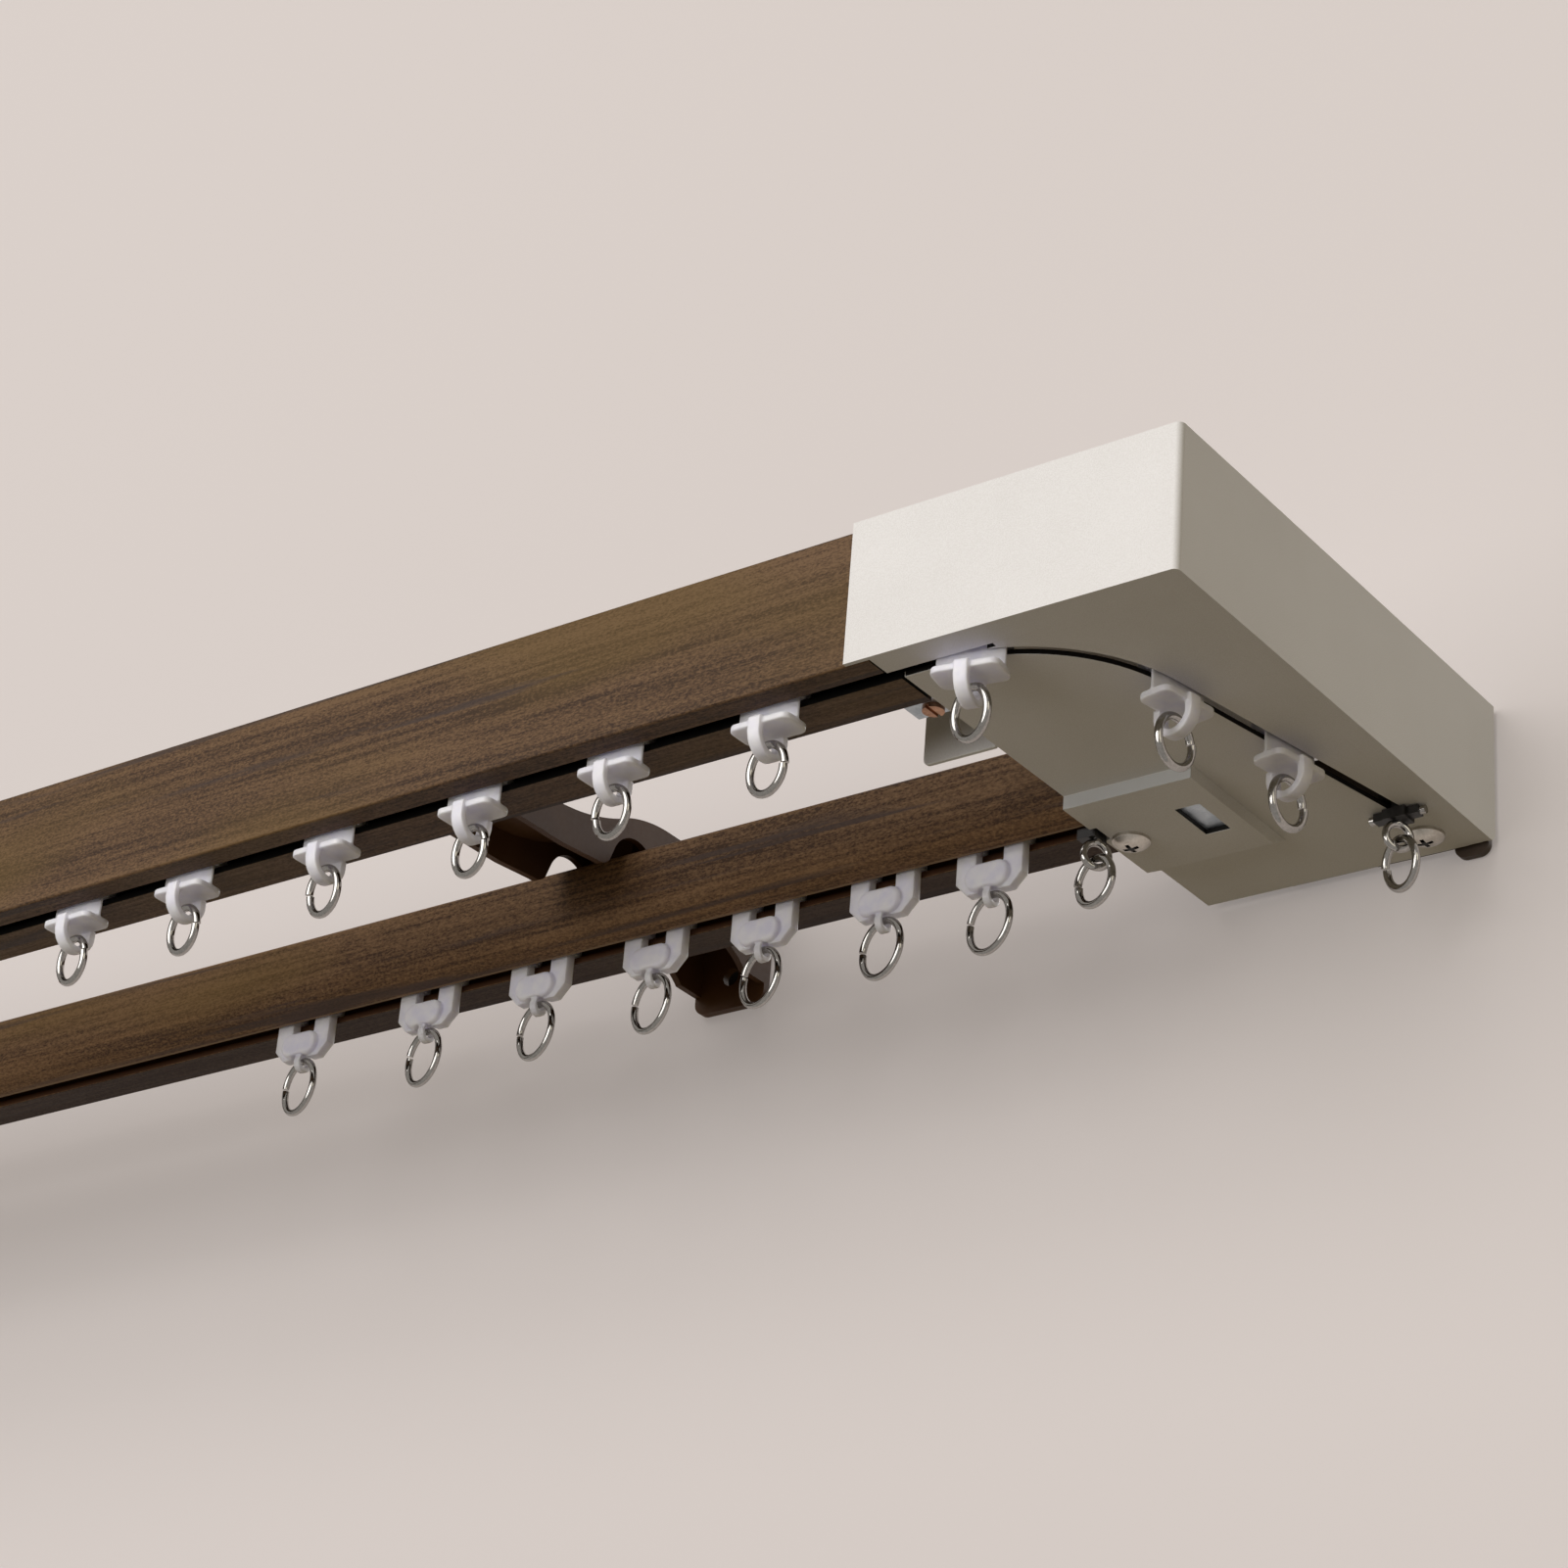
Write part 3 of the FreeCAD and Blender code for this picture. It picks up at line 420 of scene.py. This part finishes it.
def silver_coat(name):
    material, shader, place = new_material("silver_coat_" + name)
    flakes = place.noise(COAT_FLAKES, detail=1)
    cloud = place.noise(COAT_CLOUD, detail=2)
    tone = (flakes * COAT_FLAKES_SHARE + cloud * COAT_CLOUD_SHARE).between(*CLOUDY)
    colour = tone.tint(COAT_SHADE, COAT)
    # Painted shade on the inner faces, and the tray's bright front edge.
    for limits, patch in COAT_SHADE_AND_BARE_EDGE.get(name, []):
        colour = within(place, **limits).tint(colour, patch)
    feed(shader, base_color=colour, roughness=flakes.between(*FINE, *COAT_ROUGHNESS),
         normal=flakes.relief(*COAT_RELIEF), metallic=COAT_METALLIC, specular_ior_level=COAT_SHINE)
    return material


def merged_copy(node, name):
    """A copy of a node's mesh whose loose triangles are merged into one surface."""
    bpy.ops.object.select_all(action="DESELECT")
    piece = bpy.data.objects.new(name, node.data.copy())
    scene.collection.objects.link(piece)
    piece.matrix_world = node.matrix_world
    piece.select_set(True)
    bpy.context.view_layer.objects.active = piece
    bpy.ops.object.mode_set(mode="EDIT")
    bpy.ops.mesh.select_all(action="SELECT")
    bpy.ops.mesh.remove_doubles(threshold=MERGE_REACH)
    bpy.ops.mesh.dissolve_limited(angle_limit=MERGE_ANGLE)
    bpy.ops.object.mode_set(mode="OBJECT")
    return piece


def apply_modifier(piece, kind, **settings):
    modifier = piece.modifiers.new(kind.lower(), kind)
    for key, value in settings.items():
        setattr(modifier, key, value)
    bpy.context.view_layer.objects.active = piece
    bpy.ops.object.modifier_apply(modifier=modifier.name)


def bend_corner(shell):
    """Rounds the shell's outer upright corner, where the sheet is bent."""
    bpy.ops.object.mode_set(mode="EDIT")
    bpy.ops.mesh.select_mode(type="EDGE")
    bpy.ops.mesh.select_all(action="DESELECT")
    bpy.ops.object.mode_set(mode="OBJECT")
    corner = [v.co.x > cad_high[0] - TOUCH and v.co.y < cad_low[1] + TOUCH for v in shell.data.vertices]
    for edge in shell.data.edges:
        edge.select = all(corner[k] for k in edge.vertices)
    bpy.ops.object.mode_set(mode="EDIT")
    bpy.ops.mesh.bevel(offset=CORNER_BEND, segments=CORNER_STEPS, affect="EDGES")
    bpy.ops.object.mode_set(mode="OBJECT")


def rounded_copy(name, width, material):
    """A copy of a bent or pressed part with its sharp edges rounded; it takes the node's place."""
    piece = merged_copy(nodes[name], name + "_rounded")
    if name == "cap_shell":
        bend_corner(piece)
    apply_modifier(piece, "BEVEL", width=width, segments=EDGE_STEPS, limit_method="ANGLE",
                   angle_limit=ROUNDED_FROM, miter_outer="MITER_ARC", use_clamp_overlap=True)
    bpy.ops.object.shade_smooth_by_angle(angle=SMOOTH_BELOW)
    apply_modifier(piece, "WEIGHTED_NORMAL", mode="FACE_AREA", weight=100, keep_sharp=True)
    dress(piece, material)
    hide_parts(name)
    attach(piece, "track")


for name, width in EDGE_ROUNDINGS.items():
    coat = silver_coat(name)
    dress(nodes[name], coat)
    rounded_copy(name, width, coat)


# Plated parts in the cap: two pan-head screws with a slightly golden plating and a cross recess hold
# its base, and zinc plates end the rear rail and join the front one, by a copper-coloured screw. The
# recesses are darkened with painted shade.
RECESS_SHADE = srgb("1c1a17")
RECESS_ARM = (0.45, 1.73)
RECESS_HEIGHTS = (-30, -20)
SCREW_PLACES = [(133.8, -41.6), (184.4, -10.9)]
PLATING_CLOUD, PLATING_CLOUD_SHARE = 260, 0.7
PLATING_FINE, PLATING_FINE_SHARE = 2400, 0.3
GOLDEN_ROUGHNESS, ZINC_ROUGHNESS, COPPER_ROUGHNESS = 0.3, 0.34, 0.3
PLATING_ROUGHNESS_SPAN = 0.12
PLATING_RELIEF = (0.08, 0.00003)


def plated(name, light, dark, rough, recesses=()):
    """Plating with a cloudy tone; each recess gets painted shade, a dark cross at a screw head's middle.
    """
    material, shader, place = new_material(name)
    cloud = place.noise(PLATING_CLOUD, roughness=0.6)
    fine = place.noise(PLATING_FINE, detail=2)
    tone = (cloud * PLATING_CLOUD_SHARE + fine * PLATING_FINE_SHARE).between(*CLOUDY)
    colour = tone.tint(dark, light)
    # Painted shade in each screw head's cross recess.
    for x, y in recesses:
        for wide, long in (RECESS_ARM, RECESS_ARM[::-1]):
            arm = within(place, X=(x - wide, x + wide), Y=(y - long, y + long), Z=RECESS_HEIGHTS)
            colour = arm.tint(colour, RECESS_SHADE)
    feed(shader, base_color=colour, metallic=1.0, normal=fine.relief(*PLATING_RELIEF),
         roughness=cloud.between(*FINE, rough, rough + PLATING_ROUGHNESS_SPAN))
    return material


golden = plated("pale_plating", srgb("cfc9bf"), srgb("a9a297"), GOLDEN_ROUGHNESS, SCREW_PLACES)
zinc = plated("zinc_plating", srgb("c2c8cc"), srgb("9aa2a8"), ZINC_ROUGHNESS)
copper = plated("copper_plating", srgb("b98f72"), srgb("6e4a36"), COPPER_ROUGHNESS)
dress(nodes["cap_screws"], golden)
for name in ("rail_end_plate", "connector_plate"):
    dress(nodes[name], zinc)
dress(nodes["connector_screw"], copper)


# Brackets: pressed steel arms with notched cheeks, which hold both rails, each on a plate that is
# screwed to the wall, and a smaller bracket inside the cap. All have a smooth dark brown coating.
BROWN_PEEL, BROWN_CLOUD = 900, 45
BROWN_ROUGHNESS = (0.46, 0.56)
BROWN_RELIEF = (0.1, 0.00005)
BROWN_SHINE = 0.25


def brown_coat(name, dark, light):
    material, shader, place = new_material(name)
    peel = place.noise(BROWN_PEEL, detail=2)
    cloud = place.noise(BROWN_CLOUD, detail=2)
    feed(shader, base_color=cloud.between(*CLOUDY).tint(dark, light),
         roughness=peel.between(*FINE, *BROWN_ROUGHNESS), normal=peel.relief(*BROWN_RELIEF),
         specular_ior_level=BROWN_SHINE)
    return material


brown = brown_coat("brown_coat", srgb("452b14"), srgb("573a1f"))
dress(nodes["bracket_right"], brown)
dress(nodes["bracket_left"], brown)
dress(nodes["cap_wall_bracket"], brown_coat("grey_brown_coat", srgb("4a3f38"), srgb("574c44")))


# Runners: moulded in a milky, slightly translucent plastic, with a neck that hangs in the slot. The
# front ones have a star flange and a strap, the rear ones two arms and an eye, and three front ones
# stand in the cap's curved slot. Their edges are blended, as a mould leaves them.
FRONT_SLOT, REAR_SLOT = -117.2, -46.5
# Each runner's place along X and Y in millimetres, and its lean in degrees.
FRONT_STRAIGHT = [(x, FRONT_SLOT, 0.0) for x in (-95.3, -60.8, -19.4, 21.4, 58.7, 97.5)]
FRONT_LEANING = [(144.6, -116.662, 10.211), (172.347, -87.6, 79.2), (178.451, -55.6, 79.2)]
FRONT_PLACES = FRONT_STRAIGHT + FRONT_LEANING
REAR_PLACES = [(x, REAR_SLOT, 0.0) for x in (-90.6, -51.9, -18.5, 14.4, 44.3, 76.0, 103.2)]
UNDERSIDE = {"front": -24.0, "rear": -25.6}
STRAP_SIDE, STRAP_REACH, STRAP_DRAW = 1.9, 0.06, 0.76
SMOOTHING = 0.5
RUNNER_VOXEL = 0.00016
RUNNER_ROUNDS = {"front": 16, "rear": 9}
RUNNER_KEPT = 0.3
MILKY_DARK, MILKY_LIGHT = srgb("e4e4fa"), srgb("efeffe")
MILKY_CLOUD, MILKY_FINE = 300, 1800
MILKY_ROUGHNESS = (0.34, 0.44)
MILKY_RELIEF = (0.06, 0.00004)
MILKY_SHARE, MILKY_RADIUS, MILKY_DEPTH = 0.8, (1.0, 0.96, 1.0), 0.003


def milky_plastic():
    material, shader, place = new_material("milky_plastic")
    cloud = place.noise(MILKY_CLOUD, detail=2)
    fine = place.noise(MILKY_FINE, detail=2)
    feed(shader, base_color=cloud.between(*CLOUDY).tint(MILKY_DARK, MILKY_LIGHT),
         roughness=fine.between(*FINE, *MILKY_ROUGHNESS), normal=fine.relief(*MILKY_RELIEF),
         subsurface_weight=MILKY_SHARE, subsurface_radius=MILKY_RADIUS, subsurface_scale=MILKY_DEPTH)
    return material


def slim_strap(model):
    """Draws the flat sides of the front runner's strap together, as it is nearly round."""
    bpy.ops.object.mode_set(mode="EDIT")
    bpy.ops.mesh.select_mode(type="VERT")
    bpy.ops.mesh.select_all(action="DESELECT")
    bpy.ops.object.mode_set(mode="OBJECT")
    for vertex in model.data.vertices:
        vertex.select = abs(abs(vertex.co.x) - STRAP_SIDE * MM) < STRAP_REACH * MM
    bpy.ops.object.mode_set(mode="EDIT")
    bpy.ops.transform.resize(value=(STRAP_DRAW, 1, 1), center_override=(0, 0, 0))
    bpy.ops.object.mode_set(mode="OBJECT")


def moulded_model(row, places):
    """A runner with its edges and inner corners blended as by a mould, standing at the origin."""
    x, y = places[0][:2]
    model = merged_copy(nodes[row + "_runner_1"], row + "_runner_model")
    model.data.transform(Matrix.Translation((-x * MM, -y * MM, -UNDERSIDE[row] * MM)))
    if row == "front":
        slim_strap(model)
    apply_modifier(model, "REMESH", mode="VOXEL", voxel_size=RUNNER_VOXEL)
    apply_modifier(model, "SMOOTH", factor=SMOOTHING, iterations=RUNNER_ROUNDS[row])
    apply_modifier(model, "DECIMATE", ratio=RUNNER_KEPT)
    bpy.ops.object.shade_smooth()
    dress(model, milky)
    return model


def put_copies(model, row, places):
    """Copies the model to each runner's place, turned along its slot, and removes it."""
    for k, (x, y, lean) in enumerate(places, 1):
        node = "%s_runner_%d" % (row, k)
        dress(nodes[node], milky)
        copy = bpy.data.objects.new("%s_runner_%d_moulded" % (row, k), model.data.copy())
        copy.data.transform(Matrix.Translation((x * MM, y * MM, UNDERSIDE[row] * MM))
                            @ Matrix.Rotation(math.radians(lean), 4, "Z"))
        scene.collection.objects.link(copy)
        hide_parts(node)
        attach(copy, node)
    bpy.data.objects.remove(model)


milky = milky_plastic()
for row, places in (("front", FRONT_PLACES), ("rear", REAR_PLACES)):
    put_copies(moulded_model(row, places), row, places)


# Stoppers: black moulded blocks that close the ends of the two slots, the front one with two bright
# pins. Each carries an eye of thick plated wire, whose loop swells smoothly into a short shank that
# stands in the block.
BLACK_DARK, BLACK_LIGHT = srgb("100e0c"), srgb("1d1a17")
BLACK_FINE = 1400
BLACK_ROUGHNESS = (0.35, 0.48)
BLACK_RELIEF = (0.1, 0.00004)
WIRE_DARK, WIRE_LIGHT = srgb("989590"), srgb("aeaba7")
WIRE_FINE = 2600
WIRE_ROUGHNESS = (0.06, 0.12)
WIRE_RELIEF = (0.03, 0.00002)
EYE_PLACES = {"front": (184.689, -22.9), "rear": (128.6, -46.5)}
EYE_RADIUS, EYE_WIRE = 2.75, 0.8
EYE_STEPS, EYE_CORNERS = 64, 20
EYE_DROP = 5.9
EYE_TURN = math.radians(-35)
SHANK_RADIUS, SHANK_LENGTH, SHANK_RISE = 0.95, 2.2, 3.7
SHANK_CORNERS = 28
EYE_VOXEL = 0.00014
EYE_ROUNDS = 4
EYE_KEPT = 0.4


def black_plastic():
    material, shader, place = new_material("black_plastic")
    fine = place.noise(BLACK_FINE, detail=2)
    feed(shader, base_color=fine.between(*FINE).tint(BLACK_DARK, BLACK_LIGHT),
         roughness=fine.between(*FINE, *BLACK_ROUGHNESS), normal=fine.relief(*BLACK_RELIEF))
    return material


def polished_wire():
    material, shader, place = new_material("polished_wire")
    fine = place.noise(WIRE_FINE, detail=2)
    feed(shader, base_color=fine.between(*FINE).tint(WIRE_DARK, WIRE_LIGHT), metallic=1.0,
         roughness=fine.between(*FINE, *WIRE_ROUGHNESS), normal=fine.relief(*WIRE_RELIEF))
    return material


def put_eye(row):
    """The stopper's eye: a thick wire loop that runs up into a short shank, with the join swollen."""
    name = row + "_stopper_eye"
    x, y = EYE_PLACES[row]
    bpy.ops.object.select_all(action="DESELECT")
    centre = Vector((x * MM, y * MM, (UNDERSIDE[row] - EYE_DROP) * MM))
    bpy.ops.mesh.primitive_torus_add(major_radius=EYE_RADIUS * MM, minor_radius=EYE_WIRE * MM,
                                     major_segments=EYE_STEPS, minor_segments=EYE_CORNERS,
                                     location=centre, rotation=(0, math.radians(90), EYE_TURN))
    loop = bpy.context.object
    bpy.ops.mesh.primitive_cylinder_add(vertices=SHANK_CORNERS, radius=SHANK_RADIUS * MM,
                                        depth=SHANK_LENGTH * MM,
                                        location=centre + Vector((0, 0, SHANK_RISE * MM)))
    loop.select_set(True)
    bpy.context.view_layer.objects.active = loop
    bpy.ops.object.join()
    loop.name = name + "_wire"
    bpy.ops.object.transform_apply(location=True, rotation=True, scale=True)
    apply_modifier(loop, "REMESH", mode="VOXEL", voxel_size=EYE_VOXEL)
    apply_modifier(loop, "SMOOTH", factor=SMOOTHING, iterations=EYE_ROUNDS)
    apply_modifier(loop, "DECIMATE", ratio=EYE_KEPT)
    bpy.ops.object.shade_smooth()
    dress(loop, wire)
    dress(nodes[name], wire)
    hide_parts(name)
    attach(loop, "track")


black = black_plastic()
for name in ("front_stopper", "rear_stopper"):
    dress(nodes[name], black)
wire = polished_wire()
dress(nodes["stopper_pins"], wire)
put_eye("front")
put_eye("rear")


# Split rings: plated and polished wire, cut to length and bent round, with its two ends slightly parted.
# One hangs in each runner's strap or eye and in each stopper's eye, where it swings.
WIRE = 1.6
FRONT_WIDTH, REAR_WIDTH = 11.7, 14.2
RING_SEATS = {"front": UNDERSIDE["front"] - 7.65, "rear": UNDERSIDE["rear"] - 9.3}
EYE_SEAT = 6.75
WIRE_CORNERS, RING_STEPS = 20, 96
CUT_GAP = 0.07
WIRE_SMOOTH_BELOW = math.radians(50)
# Width across: how far the cut ends are parted sideways, and what is added to the wire's radius.
RING_FORMS = {FRONT_WIDTH: (0.35, 0.06), REAR_WIDTH: (0.2, 0.0)}
# A ring's turn about the upright, its swing, both in degrees, and how much it is lifted by its strap.
FRONT_HANGS = [(-12, 6, 0)] * 6 + [(-18, 8, 0.5)] + [(84, 3, 0.9)] * 2
REAR_HANG = (-16, 0)
# Where each ring's cut stands, in degrees round the ring.
FRONT_CUTS = (8, -4, 172, 5, 178, -8, 38, 10, 4)
REAR_CUTS = (168, 160, 172, 165, 158, 170, 163)
# Turn, swing and cut of the two rings in the stoppers' eyes.
EYE_HANGS = {"front": (-27, 8, 170), "rear": (-16, 0, 174)}


def ring_model(width, spread, thicker):
    """Bent wire with cut, slightly parted ends; its centre is the origin and its cut faces +X."""
    bpy.ops.object.select_all(action="DESELECT")
    bpy.ops.mesh.primitive_circle_add(vertices=WIRE_CORNERS, radius=(WIRE / 2 + thicker) * MM,
                                      fill_type="NOTHING", location=((width - WIRE) / 2 * MM, 0, 0))
    model = bpy.context.object
    bpy.ops.object.transform_apply(location=True, rotation=True, scale=True)
    apply_modifier(model, "SCREW", axis="Y", angle=2 * math.pi - CUT_GAP, screw_offset=spread * MM,
                   steps=RING_STEPS, render_steps=RING_STEPS)
    bpy.ops.object.mode_set(mode="EDIT")
    bpy.ops.mesh.select_all(action="SELECT")
    bpy.ops.mesh.fill_holes(sides=0)
    bpy.ops.mesh.select_all(action="SELECT")
    bpy.ops.mesh.normals_make_consistent(inside=False)
    bpy.ops.object.mode_set(mode="OBJECT")
    model.data.transform(Matrix.Rotation(-CUT_GAP / 2, 4, "Y")
                         @ Matrix.Translation((0, -spread / 2 * MM, 0)))
    bpy.ops.object.shade_smooth_by_angle(angle=WIRE_SMOOTH_BELOW)
    return model


def hang_ring(name, x, y, seat, width, turn, swing, cut):
    """A copy of a ring's model, turned to its cut, hung by its top at the seat, swung and turned."""
    dress(nodes[name], wire)
    loop = bpy.data.objects.new(name + "_wire", ring_models[width].data.copy())
    hanging = (Matrix.Translation((0, 0, -(width - WIRE) / 2 * MM))
               @ Matrix.Rotation(-math.radians(cut), 4, "Y"))
    loop.data.transform(Matrix.Translation((x * MM, y * MM, seat * MM))
                        @ Matrix.Rotation(math.radians(turn), 4, "Z")
                        @ Matrix.Rotation(math.radians(swing), 4, "X") @ hanging)
    scene.collection.objects.link(loop)
    dress(loop, wire)
    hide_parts(name)
    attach(loop, name)


ring_models = {width: ring_model(width, *form) for width, form in RING_FORMS.items()}
for k, (place, (turn, swing, lift), cut) in enumerate(zip(FRONT_PLACES, FRONT_HANGS, FRONT_CUTS), 1):
    hang_ring("front_ring_%d" % k, *place[:2], RING_SEATS["front"] + lift, FRONT_WIDTH, turn, swing, cut)
for k, (place, cut) in enumerate(zip(REAR_PLACES, REAR_CUTS), 1):
    hang_ring("rear_ring_%d" % k, *place[:2], RING_SEATS["rear"], REAR_WIDTH, *REAR_HANG, cut)
for row, hang in EYE_HANGS.items():
    hang_ring(row + "_stopper_ring", *EYE_PLACES[row], UNDERSIDE[row] - EYE_SEAT, FRONT_WIDTH, *hang)
for model in ring_models.values():
    bpy.data.objects.remove(model)
